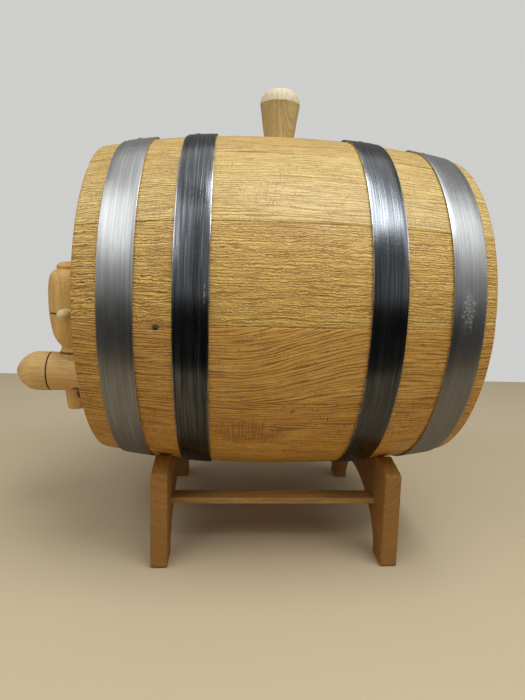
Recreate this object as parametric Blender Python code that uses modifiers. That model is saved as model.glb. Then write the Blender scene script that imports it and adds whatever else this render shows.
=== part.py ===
"""A five-litre oak wine barrel lying on its cradle stand, with a bung and a wooden tap.

Metres, +Z up. The barrel's axis runs along X and the tap end, called the front, faces -X. The origin is
on the surface that the stand rests on, in the middle of the whole object's length and width.
"""

import math

import bmesh
import bpy
from mathutils import Matrix

GAP = 0.0003  # clearance between touching pieces
FACET_ROOM = 0.0003  # how far the flats of a round surface lie inside it
CUT_MARGIN = 0.004  # how far a cutting shape runs on past what it cuts
MERGE = 0.00001
SHARP_ANGLE = 30.0  # degrees; gentler edges are shaded smooth
BORE_SIDES = 16

# Barrel shell
BARREL_LENGTH = 0.230
BILGE_RADIUS = 0.1145  # outside, at the middle
CHIME_RADIUS = 0.1042  # outside, at the ends
BULGE_POWER = 2.17  # how fast the outline falls away from the bilge
STAVE_THICKNESS = 0.013
AXIS_HEIGHT = 0.162
# Arc of each stave in degrees, from the bung stave over the far side, under and up the near side
STAVE_ARCS = (26, 25, 27, 23, 28, 25, 28, 27, 23, 26, 22.5, 28, 28, 23.5)
BUNG_ANGLE = 90.0  # degrees above the near side, the top of the barrel
STAVE_JOINT_GAP = 0.0036  # radians of clearance between two staves
STAVE_STEPS = 4
OUTLINE_STATIONS = 8
CHIME_LIP = 0.0075  # wood left at the very end of a stave
CHIVE_LENGTH = 0.0075  # bevel inside the end of a stave
CROZE_CENTRE = 0.0960  # groove that holds the head, from the middle of the barrel
CROZE_WIDTH = 0.0046
CROZE_DEPTH = 0.0032

# Heads
HEAD_THICKNESS = 0.011
HEAD_EDGE_THICKNESS = 0.0038
HEAD_BEVEL = 0.014
HEAD_TONGUE = 0.0045  # flat part of the edge, inside the groove
HEAD_SIDES = 48
# Where the boards meet, along Y, and the heights of the two dowels across each joint
FRONT_HEAD_JOINTS = {-0.058: (-0.030, 0.030), -0.017: (-0.028, 0.050), 0.036: (-0.045, 0.045)}
REAR_HEAD_JOINTS = {-0.041: (-0.045, 0.045), 0.008: (-0.050, 0.050), 0.050: (-0.035, 0.035)}
DOWEL_RADIUS = 0.003
DOWEL_LENGTH = 0.024
DOWEL_SIDES = 8

# Hoops, by the place of their front and rear edges along the barrel
HOOP_THICKNESS = 0.0008
HOOP_EDGES = {
    "front_end": (-0.1012, -0.0818),
    "front_bilge": (-0.0617, -0.0425),
    "rear_bilge": (0.0422, 0.0620),
    "rear_end": (0.0876, 0.1074),
}
HOOP_ROOM = 0.0001  # under a strip, beyond the usual gap
HOOP_STEP = 6.0  # degrees
LAP_ANGLE = 90.0  # middle of the lap, in degrees above the near side
LAP_HALF = 8.0
CLIMB_START = 5.5  # degrees before the strip's own start where it begins to climb onto it
CLIMB_END = 1.0
LAP_STEPS = 3
RIVET_ANGLES = (83.6, 94.5)
RIVET_SHIFT = 0.0040  # each rivet of a lap from the middle of the strip, the first one inwards
RIVET_HEAD_RADIUS = 0.0026
RIVET_HEAD_HEIGHT = 0.0011
RIVET_SHANK_RADIUS = 0.0014
RIVET_HOLE_LENGTH = 0.012
RIVET_SIDES = 10

# Bung: a turned taper under a low domed cap
BUNG_TOP = 0.1493  # above the barrel's axis, as all of its heights
BUNG_SHOULDER = 0.1390
BUNG_BOTTOM = 0.0980
BUNG_CAP_RADIUS = 0.0139
BUNG_CAP_EDGE = 0.0005
BUNG_DOME = (
    (0, 0), (0.0045, 0.0002), (0.0082, 0.0010), (0.0107, 0.0022), (0.0122, 0.0040), (0.0133, 0.0066),
)
BUNG_SHOULDER_RADIUS = 0.0137
BUNG_TAPER = 0.150  # loss of radius for each metre of height
BUNG_CHAMFER = 0.0012
BUNG_SIDES = 24

# Tap, from the middle of the barrel
TAP_DROP = 0.0533  # below the barrel's axis
TAP_NOSE_REACH = 0.1880
TAP_NOSE_LENGTH = 0.0160
TAP_NOSE_POWER = 0.8  # below 1 the nose is blunter
TAP_NOSE_STEPS = 6
TAP_RADIUS = 0.0143
TAP_CHAMFER = 0.001
TAP_RING_REACH = 0.1625
TAP_SHOULDER_REACH = 0.1170
TAP_SHANK_RADIUS = 0.0110
TAP_SHANK_END_RADIUS = 0.0088
TAP_SHANK_END_REACH = 0.0730
TAP_BORE_RADIUS = 0.0035
TAP_SIDES = 32
RING_HALF_WIDTH = 0.0005
RING_DEPTH = 0.0006

# Key of the tap; heights are above the tap's own axis
KEY_REACH = 0.1455
KEY_PLUG_TOP = 0.0138
KEY_PLUG_BOTTOM = -0.0275
KEY_PLUG_TOP_RADIUS = 0.0104
KEY_PLUG_TAPER = 0.1
KEY_BORE_RADIUS = 0.0032
KEY_BORE_TOP = 0.0035
KEY_PORT_RADIUS = 0.0030
KEY_PORT_LENGTH = 0.015
KEY_RING_HEIGHT = 0.0437
KEY_SIDES = 28
PEG_HEIGHT = 0.0436
PEG_RADIUS = 0.0041
PEG_HALF_LENGTH = 0.0300
PEG_TIP = 0.006  # length of an egg-shaped end
PEG_SIDES = 12

# Stand
BOARD_INNER_FACE = 0.068  # from the middle of the barrel, along X
BOARD_THICKNESS = 0.0105
FOOT_HALF_WIDTH = 0.080
SHOULDER_HALF_WIDTH = 0.078
SHOULDER_HEIGHT = 0.061
CRADLE_HALF_WIDTH = 0.056
ARCH_HALF_WIDTH = 0.062
ARCH_HEIGHT = 0.0375
CRADLE_STEPS = 20
ARCH_STEPS = 16
SLAT_WIDTH = 0.0125
SLAT_THICKNESS = 0.0043
SLAT_CENTRE_Y = 0.0525
SLAT_BOTTOM = 0.0327
MORTISE_DEPTH = 0.005
SLAT_ROUNDING = 0.0008

# The barrel's middle along X, so that the nose of the tap and the rear end lie as far from the origin
BARREL_CENTRE_X = (TAP_NOSE_REACH - BARREL_LENGTH / 2) / 2

TO_X = (0, math.radians(90), 0)  # turns a shape's own Z axis to X
TO_Y = (math.radians(-90), 0, 0)  # turns a shape's own Z axis to Y
BOARD_UPRIGHT = (math.radians(90), 0, math.radians(90))  # an outline in XY, stood up in YZ


def new_collection(name):
    collection = bpy.data.collections.new(name)
    bpy.context.scene.collection.children.link(collection)
    return collection


def new_material(name, colour, roughness, metallic=0.0):
    material = bpy.data.materials.new(name)
    material.use_nodes = True
    shader = material.node_tree.nodes["Principled BSDF"]
    shader.inputs["Base Color"].default_value = (*colour, 1)
    shader.inputs["Roughness"].default_value = roughness
    shader.inputs["Metallic"].default_value = metallic
    return material


def new_empty(name, location, parent=None):
    empty = bpy.data.objects.new(name, None)
    empty.location = location
    empty.parent = parent
    parts.objects.link(empty)
    return empty


def place(obj, parent, location=(0, 0, 0), rotation=(0, 0, 0)):
    obj.parent = parent
    obj.location = location
    obj.rotation_euler = rotation


def piece(name, mesh, material, parent, location=(0, 0, 0), rotation=(0, 0, 0), smooth=True):
    """Adds one named sub-part of the barrel."""
    obj = bpy.data.objects.new(name, mesh)
    obj.data.materials.append(material)
    parts.objects.link(obj)
    place(obj, parent, location, rotation)
    if smooth:
        mesh.shade_smooth()
        mesh.set_sharp_from_angle(angle=math.radians(SHARP_ANGLE))
    return obj


def cutter(name, mesh, parent, location=(0, 0, 0), rotation=(0, 0, 0)):
    obj = bpy.data.objects.new(name, mesh)
    cutters.objects.link(obj)
    place(obj, parent, location, rotation)
    obj.hide_render = True
    obj.display_type = "WIRE"
    return obj


def combine(obj, tool, operation="DIFFERENCE"):
    modifier = obj.modifiers.new(tool.name, "BOOLEAN")
    modifier.operation = operation
    modifier.solver = "EXACT"
    modifier.object = tool


def outline_mesh(name, points):
    """An open outline of (radius, height) points in the XZ plane, ready for a Screw."""
    mesh = bpy.data.meshes.new(name)
    edges = [(i, i + 1) for i in range(len(points) - 1)]
    mesh.from_pydata([(radius, 0, height) for radius, height in points], edges, [])
    return mesh


def turn(obj, sides):
    """Turns an outline round its own Z axis."""
    screw = obj.modifiers.new("turned", "SCREW")
    screw.axis = "Z"
    screw.angle = 2 * math.pi
    screw.steps = sides
    screw.render_steps = sides
    screw.use_merge_vertices = True
    screw.merge_threshold = MERGE
    screw.use_smooth_shade = True


def cone_mesh(name, lower_radius, upper_radius, height, sides):
    """A cone or cylinder round Z, from 0 up to its height."""
    mesh = bpy.data.meshes.new(name)
    shape = bmesh.new()
    bmesh.ops.create_cone(
        shape, cap_ends=True, segments=sides, radius1=lower_radius, radius2=upper_radius,
        depth=height, matrix=Matrix.Translation((0, 0, height / 2)),
    )
    shape.to_mesh(mesh)
    shape.free()
    return mesh


def box_mesh(name, size):
    """A box centred on its own origin."""
    mesh = bpy.data.meshes.new(name)
    shape = bmesh.new()
    bmesh.ops.create_cube(shape, size=1, matrix=Matrix.Diagonal((*size, 1)))
    shape.to_mesh(mesh)
    shape.free()
    return mesh


def outer_radius(along):
    """The barrel's outside radius at a distance from its middle."""
    fall = abs(2 * along / BARREL_LENGTH) ** BULGE_POWER
    return BILGE_RADIUS - (BILGE_RADIUS - CHIME_RADIUS) * fall


def inner_radius(along):
    return outer_radius(along) - STAVE_THICKNESS


def croze_radius():
    """Bottom of the groove that the head's edge sits in."""
    return inner_radius(CROZE_CENTRE) + CROZE_DEPTH


def stave_profile():
    """A stave cut lengthwise: (along, radius) points round its outline."""
    half = BARREL_LENGTH / 2
    outside = [-half + BARREL_LENGTH * i / OUTLINE_STATIONS for i in range(OUTLINE_STATIONS + 1)]
    profile = [(along, outer_radius(along)) for along in outside]
    chive = half - CHIVE_LENGTH
    croze_out = CROZE_CENTRE + CROZE_WIDTH / 2
    croze_in = CROZE_CENTRE - CROZE_WIDTH / 2
    rear = [
        (half, CHIME_RADIUS - CHIME_LIP),
        (chive, inner_radius(chive)),
        (croze_out, inner_radius(croze_out)),
        (croze_out, croze_radius()),
        (croze_in, croze_radius()),
        (croze_in, inner_radius(croze_in)),
        (croze_in / 2, inner_radius(croze_in / 2)),
    ]
    front = [(-along, radius) for along, radius in reversed(rear)]
    return profile + rear + [(0, inner_radius(0))] + front


def stave_mesh(name, start, arc):
    """The stave's outline spun round the barrel's axis; angles run up from the near side."""
    begin = math.radians(start) + STAVE_JOINT_GAP / 2
    sweep = math.radians(arc) - STAVE_JOINT_GAP
    mesh = bpy.data.meshes.new(name)
    shape = bmesh.new()
    corners = [
        shape.verts.new((along, -radius * math.cos(begin), radius * math.sin(begin)))
        for along, radius in stave_profile()
    ]
    section = shape.faces.new(corners)
    bmesh.ops.spin(
        shape, geom=[section, *section.edges, *section.verts], cent=(0, 0, 0),
        axis=(-1, 0, 0), dvec=(0, 0, 0), angle=sweep, steps=STAVE_STEPS,
    )
    bmesh.ops.recalc_face_normals(shape, faces=shape.faces)
    shape.to_mesh(mesh)
    shape.free()
    return mesh


def add_staves():
    start = BUNG_ANGLE - STAVE_ARCS[0] / 2
    for number, arc in enumerate(STAVE_ARCS, 1):
        name = f"stave_{number:02d}" if number > 1 else "stave_01_bung"
        stave = piece(name, stave_mesh(name, start, arc), oak, barrel)
        if number == 1:
            cut_bung_hole(stave)
        start += arc


def cut_bung_hole(stave):
    low, high = BUNG_BOTTOM - CUT_MARGIN, BILGE_RADIUS + CUT_MARGIN
    mesh = cone_mesh(
        "bung_hole", bung_radius(low) + GAP, bung_radius(high) + GAP, high - low, BUNG_SIDES
    )
    combine(stave, cutter("bung_hole", mesh, barrel, (0, 0, low)))


def bung_radius(height):
    return BUNG_SHOULDER_RADIUS - BUNG_TAPER * (BUNG_SHOULDER - height)


def add_bung():
    outline = [
        *((radius, BUNG_TOP - drop) for radius, drop in BUNG_DOME),
        (BUNG_CAP_RADIUS, BUNG_SHOULDER + BUNG_CAP_EDGE),
        (BUNG_SHOULDER_RADIUS, BUNG_SHOULDER),
        (bung_radius(BUNG_BOTTOM + BUNG_CHAMFER), BUNG_BOTTOM + BUNG_CHAMFER),
        (bung_radius(BUNG_BOTTOM) - BUNG_CHAMFER, BUNG_BOTTOM),
        (0, BUNG_BOTTOM),
    ]
    bung = piece("bung", outline_mesh("bung", outline), pale_wood, barrel)
    turn(bung, BUNG_SIDES)


def head_mesh(name):
    """A whole head before it is sawn into boards, turned with its thickness along Z."""
    edge = croze_radius() - GAP - FACET_ROOM
    face = HEAD_THICKNESS / 2
    rim = HEAD_EDGE_THICKNESS / 2
    mesh = bpy.data.meshes.new(name)
    shape = bmesh.new()
    rings = []
    half_section = ((edge - HEAD_BEVEL, face), (edge - HEAD_TONGUE, rim), (edge, rim))
    section = [(radius, -height) for radius, height in half_section] + list(reversed(half_section))
    for radius, height in section:
        ring = bmesh.ops.create_circle(
            shape, segments=HEAD_SIDES, radius=radius, matrix=Matrix.Translation((0, 0, height))
        )
        rings.append(list({link for vert in ring["verts"] for link in vert.link_edges}))
    for lower, upper in zip(rings, rings[1:]):
        bmesh.ops.bridge_loops(shape, edges=lower + upper)
    bmesh.ops.contextual_create(shape, geom=rings[0])
    bmesh.ops.contextual_create(shape, geom=rings[-1])
    bmesh.ops.recalc_face_normals(shape, faces=shape.faces)
    shape.to_mesh(mesh)
    shape.free()
    return mesh


def add_head(end, side, joints):
    """Four boards edge to edge, two dowels across each joint; side is -1 for the front."""
    place_x = side * CROZE_CENTRE
    reach = 2 * BILGE_RADIUS
    edges = (-reach / 2, *joints, reach / 2)
    holes = []
    for number, (joint, heights) in enumerate(joints.items()):
        for half, height in enumerate(heights):
            at = (place_x, joint - DOWEL_LENGTH / 2, height)
            dowel = cone_mesh("dowel", DOWEL_RADIUS, DOWEL_RADIUS, DOWEL_LENGTH, DOWEL_SIDES)
            name = f"{end}_head_dowel_{2 * number + half + 1}"
            piece(name, dowel, pale_wood, barrel, at, TO_Y)
            radius = DOWEL_RADIUS + GAP
            mesh = cone_mesh("dowel_hole", radius, radius, DOWEL_LENGTH + 2 * GAP, DOWEL_SIDES)
            at = (place_x, joint - DOWEL_LENGTH / 2 - GAP, height)
            holes.append((number, cutter(f"{name}_hole", mesh, barrel, at, TO_Y)))
    for number, (low, high) in enumerate(zip(edges, edges[1:])):
        name = f"{end}_head_board_{number + 1}"
        board = piece(name, head_mesh(name), oak, barrel, (place_x, 0, 0), TO_X)
        slab = box_mesh(f"{name}_slab", (4 * HEAD_THICKNESS, high - low - GAP, reach))
        at = (place_x, (low + high) / 2, 0)
        combine(board, cutter(f"{name}_slab", slab, barrel, at), "INTERSECT")
        for joint, hole in holes:
            if joint in (number - 1, number):
                combine(board, hole)
        if side < 0 and low < 0 < high:
            cut_tap_hole(board)


def shank_radius(reach):
    """The tap's tapered shank, at a distance in front of the barrel's middle."""
    along = (reach - TAP_SHANK_END_REACH) / (TAP_SHOULDER_REACH - TAP_SHANK_END_REACH)
    return TAP_SHANK_END_RADIUS + along * (TAP_SHANK_RADIUS - TAP_SHANK_END_RADIUS)


def cut_tap_hole(board):
    near, far = CROZE_CENTRE - HEAD_THICKNESS, CROZE_CENTRE + HEAD_THICKNESS
    mesh = cone_mesh(
        "tap_hole", shank_radius(far) + GAP, shank_radius(near) + GAP, far - near, BUNG_SIDES
    )
    combine(board, cutter("tap_hole", mesh, barrel, (-far, 0, -TAP_DROP), TO_X))


def hoop_stations():
    """Where a strip's section is placed: degrees, and 1 where it lies on its own start."""
    first = LAP_ANGLE - LAP_HALF
    climb = first + 360 - CLIMB_START
    steps = round((climb - first) / HOOP_STEP)
    single = [(first + (climb - first) * step / steps, 0) for step in range(steps + 1)]
    start, end = first + 360 - CLIMB_END, first + 360 + 2 * LAP_HALF
    return single + [(start + (end - start) * step / LAP_STEPS, 1) for step in range(LAP_STEPS + 1)]


def hoop_mesh(name, front, rear):
    """A strip bent round the barrel, its last stretch lapped over its first."""
    lift = HOOP_THICKNESS + GAP
    mesh = bpy.data.meshes.new(name)
    shape = bmesh.new()
    sections = []
    for degrees, rise in hoop_stations():
        angle = math.radians(degrees)
        section = []
        for along, depth in ((front, 0), (rear, 0), (rear, HOOP_THICKNESS), (front, HOOP_THICKNESS)):
            radius = outer_radius(along) + GAP + HOOP_ROOM + rise * lift + depth
            section.append(
                shape.verts.new((along, -radius * math.cos(angle), radius * math.sin(angle)))
            )
        sections.append(section)
    for here, there in zip(sections, sections[1:]):
        for i in range(4):
            j = (i + 1) % 4
            shape.faces.new((here[i], here[j], there[j], there[i]))
    shape.faces.new(sections[0])
    shape.faces.new(sections[-1])
    bmesh.ops.recalc_face_normals(shape, faces=shape.faces)
    shape.to_mesh(mesh)
    shape.free()
    return mesh


def add_hoops():
    for end, (front, rear) in HOOP_EDGES.items():
        name = f"{end}_hoop"
        hoop = piece(name, hoop_mesh(name, front, rear), steel, barrel)
        middle = (front + rear) / 2
        slope = math.atan2(outer_radius(rear) - outer_radius(front), rear - front)
        for number, degrees in enumerate(RIVET_ANGLES):
            inward = -math.copysign(RIVET_SHIFT, middle)
            along = middle + (-inward if number else inward)
            inside = outer_radius(along) + GAP
            outside = inside + 2 * HOOP_THICKNESS + 3 * GAP
            # Spun round the barrel's axis to the lap, then laid square to the strip's slope
            stand = Matrix.Rotation(math.radians(degrees - 90), 4, "X")
            stand = stand @ Matrix.Translation((along, 0, outside))
            stand = stand @ Matrix.Rotation(-slope, 4, "Y")
            rivet_name = f"{name}_rivet_{number + 1}"
            shank = outside - inside - GAP
            rivet = piece(rivet_name, outline_mesh(rivet_name, rivet_outline(shank)), rivet_steel, barrel)
            rivet.matrix_local = stand
            turn(rivet, RIVET_SIDES)
            hole_radius = RIVET_SHANK_RADIUS + GAP
            mesh = cone_mesh(
                "rivet_hole", hole_radius, hole_radius, RIVET_HOLE_LENGTH, RIVET_SIDES
            )
            hole = cutter(f"{rivet_name}_hole", mesh, barrel)
            hole.matrix_local = stand @ Matrix.Translation((0, 0, CUT_MARGIN - RIVET_HOLE_LENGTH))
            combine(hoop, hole)


def rivet_outline(shank):
    dome = [
        (RIVET_HEAD_RADIUS * math.sin(a), RIVET_HEAD_HEIGHT * math.cos(a))
        for a in (0, math.radians(35), math.radians(70), math.radians(90))
    ]
    return dome + [(RIVET_SHANK_RADIUS, 0), (RIVET_SHANK_RADIUS, -shank), (0, -shank)]


def ring_groove(radius, height):
    """A thin burnt line turned into a round surface."""
    return [
        (radius, height + RING_HALF_WIDTH),
        (radius - RING_DEPTH, height),
        (radius, height - RING_HALF_WIDTH),
    ]


def tap_outline():
    nose = []
    for step in range(TAP_NOSE_STEPS + 1):
        s = 1 - step / TAP_NOSE_STEPS
        reach = TAP_NOSE_REACH - TAP_NOSE_LENGTH * s
        nose.append((TAP_RADIUS * (s * (2 - s)) ** TAP_NOSE_POWER, -reach))
    return [
        (0, -TAP_SHANK_END_REACH),
        (TAP_SHANK_END_RADIUS, -TAP_SHANK_END_REACH),
        (TAP_SHANK_RADIUS, -TAP_SHOULDER_REACH),
        (TAP_RADIUS - TAP_CHAMFER, -TAP_SHOULDER_REACH),
        (TAP_RADIUS, -TAP_SHOULDER_REACH - TAP_CHAMFER),
        *ring_groove(TAP_RADIUS, -TAP_RING_REACH),
        *nose,
    ]


def plug_radius(height):
    return KEY_PLUG_TOP_RADIUS - KEY_PLUG_TAPER * (KEY_PLUG_TOP - height)


def key_outline():
    """The key from its button down: button, neck, bulb, waist, tapered plug."""
    return [
        (0, 0.0803),
        (0.0052, 0.0801),
        (0.0088, 0.0791),
        (0.0107, 0.0775),
        (0.0111, 0.0761),
        (0.0106, 0.0749),
        (0.0130, 0.0735),
        (0.0155, 0.0700),
        (0.0168, 0.0640),
        (0.0171, 0.0560),
        *ring_groove(0.0169, KEY_RING_HEIGHT),
        (0.0160, 0.0360),
        (0.0147, 0.0290),
        (0.0133, 0.0252),
        (0.0111, 0.0218),
        (0.0092, 0.0188),
        (0.0104, 0.0152),
        (KEY_PLUG_TOP_RADIUS, KEY_PLUG_TOP),
        (plug_radius(KEY_PLUG_BOTTOM), KEY_PLUG_BOTTOM),
        (0, KEY_PLUG_BOTTOM),
    ]


def add_tap():
    at = (0, 0, -TAP_DROP)
    body = piece("tap_body", outline_mesh("tap_body", tap_outline()), tap_wood, barrel, at, TO_X)
    turn(body, TAP_SIDES)
    low, high = -TAP_RADIUS - CUT_MARGIN, TAP_RADIUS + CUT_MARGIN
    mesh = cone_mesh("key_hole", plug_radius(low) + GAP, plug_radius(high) + GAP, high - low, KEY_SIDES)
    combine(body, cutter("key_hole", mesh, key_axis, (0, 0, low)))
    start = TAP_SHANK_END_REACH - CUT_MARGIN
    mesh = cone_mesh("tap_bore", TAP_BORE_RADIUS, TAP_BORE_RADIUS, KEY_REACH - start, BORE_SIDES)
    combine(body, cutter("tap_bore", mesh, barrel, (-KEY_REACH, 0, -TAP_DROP), TO_X))

    key = piece("tap_key", outline_mesh("tap_key", key_outline()), tap_wood, key_axis)
    turn(key, KEY_SIDES)
    height = KEY_BORE_TOP - KEY_PLUG_BOTTOM + CUT_MARGIN
    mesh = cone_mesh("key_bore", KEY_BORE_RADIUS, KEY_BORE_RADIUS, height, BORE_SIDES)
    combine(key, cutter("key_bore", mesh, key_axis, (0, 0, KEY_BORE_TOP - height)))
    mesh = cone_mesh("key_port", KEY_PORT_RADIUS, KEY_PORT_RADIUS, KEY_PORT_LENGTH, BORE_SIDES)
    combine(key, cutter("key_port", mesh, key_axis, (0, 0, 0), TO_Y))
    radius = PEG_RADIUS + GAP
    mesh = cone_mesh("peg_hole", radius, radius, 2 * PEG_HALF_LENGTH, PEG_SIDES)
    combine(key, cutter("peg_hole", mesh, key_axis, (0, -PEG_HALF_LENGTH, PEG_HEIGHT), TO_Y))

    at = (0, 0, PEG_HEIGHT)
    peg = piece("tap_key_peg", outline_mesh("peg", peg_outline()), pale_wood, key_axis, at, TO_Y)
    turn(peg, PEG_SIDES)


def peg_outline():
    """A round bar with egg-shaped ends, along its own Z axis."""
    arc = [math.radians(angle) for angle in (0, 25, 50, 70, 90)]
    upper = [
        (PEG_RADIUS * math.sin(a), PEG_HALF_LENGTH - PEG_TIP + PEG_TIP * math.cos(a))
        for a in arc
    ]
    return upper + [(radius, -height) for radius, height in reversed(upper)]


def board_outline():
    """Half of an end board's outline, from the middle of the cradle to the middle of the arch."""
    cradle = outer_radius(BOARD_INNER_FACE) + GAP
    reach = math.asin(CRADLE_HALF_WIDTH / cradle)
    half = CRADLE_STEPS // 2
    points = []
    for step in range(half + 1):
        angle = reach * step / half
        points.append((cradle * math.sin(angle), AXIS_HEIGHT - cradle * math.cos(angle)))
    points += [(SHOULDER_HALF_WIDTH, SHOULDER_HEIGHT), (FOOT_HALF_WIDTH, 0)]
    half = ARCH_STEPS // 2
    for step in range(half + 1):
        angle = math.radians(90) * step / half
        points.append((ARCH_HALF_WIDTH * math.cos(angle), ARCH_HEIGHT * math.sin(angle)))
    return points


def flat_mesh(name, outline, thickness):
    """A closed outline filled and extruded, as a mesh."""
    curve = bpy.data.curves.new(name, "CURVE")
    curve.dimensions = "2D"
    curve.fill_mode = "BOTH"
    curve.extrude = thickness / 2
    spline = curve.splines.new("POLY")
    spline.points.add(len(outline) - 1)
    for point, (x, y) in zip(spline.points, outline):
        point.co = (x, y, 0, 1)
    spline.use_cyclic_u = True
    holder = bpy.data.objects.new(name, curve)
    cutters.objects.link(holder)
    bpy.context.view_layer.update()
    evaluated = holder.evaluated_get(bpy.context.evaluated_depsgraph_get())
    mesh = bpy.data.meshes.new_from_object(evaluated)
    bpy.data.objects.remove(holder)
    shape = bmesh.new()
    shape.from_mesh(mesh)
    bmesh.ops.remove_doubles(shape, verts=shape.verts, dist=MERGE)
    bmesh.ops.recalc_face_normals(shape, faces=shape.faces)
    shape.to_mesh(mesh)
    shape.free()
    return mesh


def add_stand():
    half = board_outline()
    outline = half + [(-y, z) for y, z in reversed(half[1:-1])]
    slat_length = 2 * (BOARD_INNER_FACE + MORTISE_DEPTH - GAP)
    slat_z = SLAT_BOTTOM + SLAT_THICKNESS / 2
    boards = []
    for end, side in (("front", -1), ("rear", 1)):
        name = f"{end}_cradle_board"
        at = (side * (BOARD_INNER_FACE + BOARD_THICKNESS / 2), 0, 0)
        mesh = flat_mesh(name, outline, BOARD_THICKNESS)
        boards.append(piece(name, mesh, dark_oak, stand, at, BOARD_UPRIGHT, smooth=False))
    for row, side in (("near", -1), ("far", 1)):
        at = (0, side * SLAT_CENTRE_Y, slat_z)
        mesh = box_mesh(f"{row}_stretcher", (slat_length, SLAT_WIDTH, SLAT_THICKNESS))
        slat = piece(f"{row}_stretcher", mesh, dark_oak, stand, at, smooth=False)
        bevel = slat.modifiers.new("rounded", "BEVEL")
        bevel.width = SLAT_ROUNDING
        bevel.segments = 1
        size = (slat_length + 2 * GAP, SLAT_WIDTH + 2 * GAP, SLAT_THICKNESS + 2 * GAP)
        mortise = cutter(f"{row}_mortises", box_mesh("mortise", size), stand, at)
        for board in boards:
            combine(board, mortise)


for old in list(bpy.data.objects):
    bpy.data.objects.remove(old)
parts = new_collection("oak_wine_barrel")
cutters = new_collection("cutters")

oak = new_material("oak", (0.60, 0.36, 0.13), 0.62)
dark_oak = new_material("stand_oak", (0.38, 0.18, 0.06), 0.6)
tap_wood = new_material("tap_wood", (0.62, 0.36, 0.14), 0.5)
pale_wood = new_material("pale_wood", (0.80, 0.62, 0.38), 0.5)
steel = new_material("hoop_steel", (0.33, 0.33, 0.34), 0.35, 1.0)
rivet_steel = new_material("rivet_steel", (0.40, 0.40, 0.41), 0.4, 1.0)

stand = new_empty("stand", (BARREL_CENTRE_X, 0, 0))
barrel = new_empty("barrel", (BARREL_CENTRE_X, 0, AXIS_HEIGHT))
key_axis = new_empty("key_axis", (-KEY_REACH, 0, -TAP_DROP), barrel)

add_staves()
add_head("front", -1, FRONT_HEAD_JOINTS)
add_head("rear", 1, REAR_HEAD_JOINTS)
add_hoops()
add_bung()
add_tap()
add_stand()
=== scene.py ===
"""Looks of the five-litre oak wine barrel on its cradle stand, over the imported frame.

Metres, +Z up. The barrel's axis runs along X and the tap points to -X. Angles round the barrel are in
degrees up from its near side, which faces -Y.
"""

import math

import bmesh
import bpy
from mathutils import Matrix, Vector, noise


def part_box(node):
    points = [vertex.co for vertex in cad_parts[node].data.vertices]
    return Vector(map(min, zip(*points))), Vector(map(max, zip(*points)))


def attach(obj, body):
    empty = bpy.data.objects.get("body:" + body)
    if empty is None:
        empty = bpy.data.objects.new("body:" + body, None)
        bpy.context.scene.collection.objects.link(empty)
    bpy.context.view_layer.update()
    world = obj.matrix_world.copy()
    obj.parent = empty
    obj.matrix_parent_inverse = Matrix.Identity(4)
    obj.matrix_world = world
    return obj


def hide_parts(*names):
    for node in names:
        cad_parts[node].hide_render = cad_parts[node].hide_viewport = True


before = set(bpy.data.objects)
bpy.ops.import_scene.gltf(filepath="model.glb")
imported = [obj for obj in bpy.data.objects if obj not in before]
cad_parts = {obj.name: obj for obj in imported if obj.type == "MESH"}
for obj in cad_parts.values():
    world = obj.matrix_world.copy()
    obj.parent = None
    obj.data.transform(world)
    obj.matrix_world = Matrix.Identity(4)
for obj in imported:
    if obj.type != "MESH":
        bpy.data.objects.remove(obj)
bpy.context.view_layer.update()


# ---- sizes ----

AXIS_HEIGHT = 0.162
BILGE_RADIUS = 0.1145
CHIME_RADIUS = 0.1042
BULGE_POWER = 2.17
STAVE_THICKNESS = 0.013
STAVE_ARCS = (26, 25, 27, 23, 28, 25, 28, 27, 23, 26, 22.5, 28, 28, 23.5)
BUNG_ANGLE = 90.0
CHIME_LIP = 0.0075
CHIVE_LENGTH = 0.0075
CROZE_CENTRE = 0.0960
CROZE_WIDTH = 0.0046
CROZE_DEPTH = 0.0032

STAVE_LOW, STAVE_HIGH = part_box("stave_01_bung")
MIDDLE_X = (STAVE_LOW.x + STAVE_HIGH.x) / 2
MIDDLE = Vector((MIDDLE_X, 0, AXIS_HEIGHT))
HALF_LENGTH = (STAVE_HIGH.x - STAVE_LOW.x) / 2

STAVE_GAP = 0.0007  # radians between two staves
EDGE_ROUNDING = 0.00042  # along a stave's joints
END_ROUNDING = 0.0010
STATION_STEP = 0.0021
ARC_STEP = 0.0016
STAVE_LIFT = 0.00012  # how unevenly the staves stand
STAVE_TILT = 0.00010  # from joint to joint
FACE_WAVES = 0.00009
SAW_DEPTH = 0.00011  # of the rough-sawn staves

HOOP_THICKNESS = 0.0008
HOOP_CLEARANCE = 0.0004
HOOP_CROWN = 0.00010
HOOP_DENTS = 0.00005
HOOP_WAVER = 0.00012  # of its edges
LAP_START, LAP_END = 82.0, 458.0
LAP_RAMP = (436.5, 441.0)
LAP_GAP = 0.0002
HOOP_STEP = 1.5
RIVET_ANGLES = (83.6, 94.5)
RIVET_SHIFT = 0.0040

BUNG_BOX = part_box("bung")
KEY_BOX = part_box("tap_key")
TAP_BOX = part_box("tap_body")
TAP_RADIUS = 0.0143
TAP_AXIS = AXIS_HEIGHT - 0.0533
KEY_X = (KEY_BOX[0].x + KEY_BOX[1].x) / 2
PEG_HEIGHT = TAP_AXIS + 0.0436
KEY_RING = TAP_AXIS + 0.0437
TAP_RING = TAP_BOX[0].x + 0.0255


def outer_radius(along):
    """Outside radius at a distance from the barrel's middle."""
    fall = abs(along / HALF_LENGTH) ** BULGE_POWER
    return BILGE_RADIUS - (BILGE_RADIUS - CHIME_RADIUS) * fall


def inner_radius(along):
    return outer_radius(along) - STAVE_THICKNESS


def on_barrel(along, radius, degrees):
    """World place of a point given from the barrel's middle."""
    angle = math.radians(degrees)
    return (
        MIDDLE_X + along,
        -radius * math.cos(angle),
        AXIS_HEIGHT + radius * math.sin(angle),
    )


# ---- shader building ----


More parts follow.
